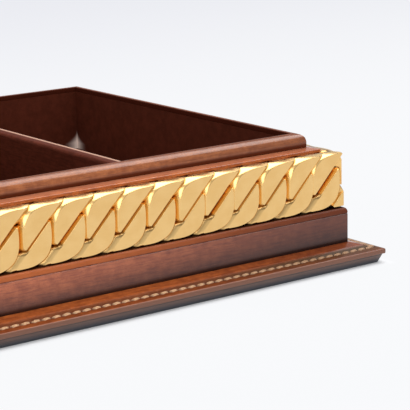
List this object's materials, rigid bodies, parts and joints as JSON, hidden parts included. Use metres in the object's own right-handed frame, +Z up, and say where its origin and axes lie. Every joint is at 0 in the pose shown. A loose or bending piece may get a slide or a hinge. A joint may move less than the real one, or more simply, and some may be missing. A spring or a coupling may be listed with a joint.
{
  "type": "valet tray",
  "caption": "Open rectangular leather-covered valet tray with compartments, a stitched foot, a plinth and a gilt curb chain set in the frieze under an ovolo rim.",
  "frame": {"origin": "on the table under the middle of the tray", "axes": "+X along the long front side, +Y from the front to the back, +Z up out of the tray"},
  "size_m": [0.3, 0.2, 0.0488],
  "materials": {
    "leather": "glossy burnished calf, chestnut",
    "plinth_leather": "satin calf, dark purple-brown with fine streaks",
    "lining_leather": "satin dark brown calf",
    "edge_paint": "board covered in dark leather, bevelled edge",
    "gilt": "gilt, faces ground and finely brushed",
    "brass_pin": "plain",
    "steel_screw": "plain zinc-coated",
    "birch_ply": "plain sanded",
    "suede": "suede, fine nap"
  },
  "bodies": {
    "root": {"chain_back": "gilt", "chain_corner_links": "gilt", "chain_front": "gilt", "chain_left": "gilt", "chain_pins_back": "brass_pin", "chain_pins_front": "brass_pin", "chain_pins_left": "brass_pin", "chain_pins_right": "brass_pin", "chain_right": "gilt", "divider_1": "lining_leather", "divider_2": "lining_leather", "divider_3": "lining_leather", "floor_bearers": "birch_ply", "floor_board": "birch_ply", "floor_pad_1": "lining_leather", "floor_pad_2": "lining_leather", "floor_pad_3": "lining_leather", "floor_pad_4": "lining_leather", "foot_board": "edge_paint", "foot_leather_back": "leather", "foot_leather_front": "leather", "foot_leather_left": "leather", "foot_leather_right": "leather", "foot_pad": "suede", "foot_screws": "steel_screw", "ledge_back": "leather", "ledge_front": "leather", "ledge_left": "leather", "ledge_right": "leather", "plinth_back": "plinth_leather", "plinth_front": "plinth_leather", "plinth_left": "plinth_leather", "plinth_right": "plinth_leather", "rim_back": "leather", "rim_front": "leather", "rim_left": "leather", "rim_right": "leather", "wall_back": "leather", "wall_front": "leather", "wall_left": "leather", "wall_lining_back": "lining_leather", "wall_lining_front": "lining_leather", "wall_lining_left": "lining_leather", "wall_lining_right": "lining_leather", "wall_right": "leather"}
  },
  "joints": []
}
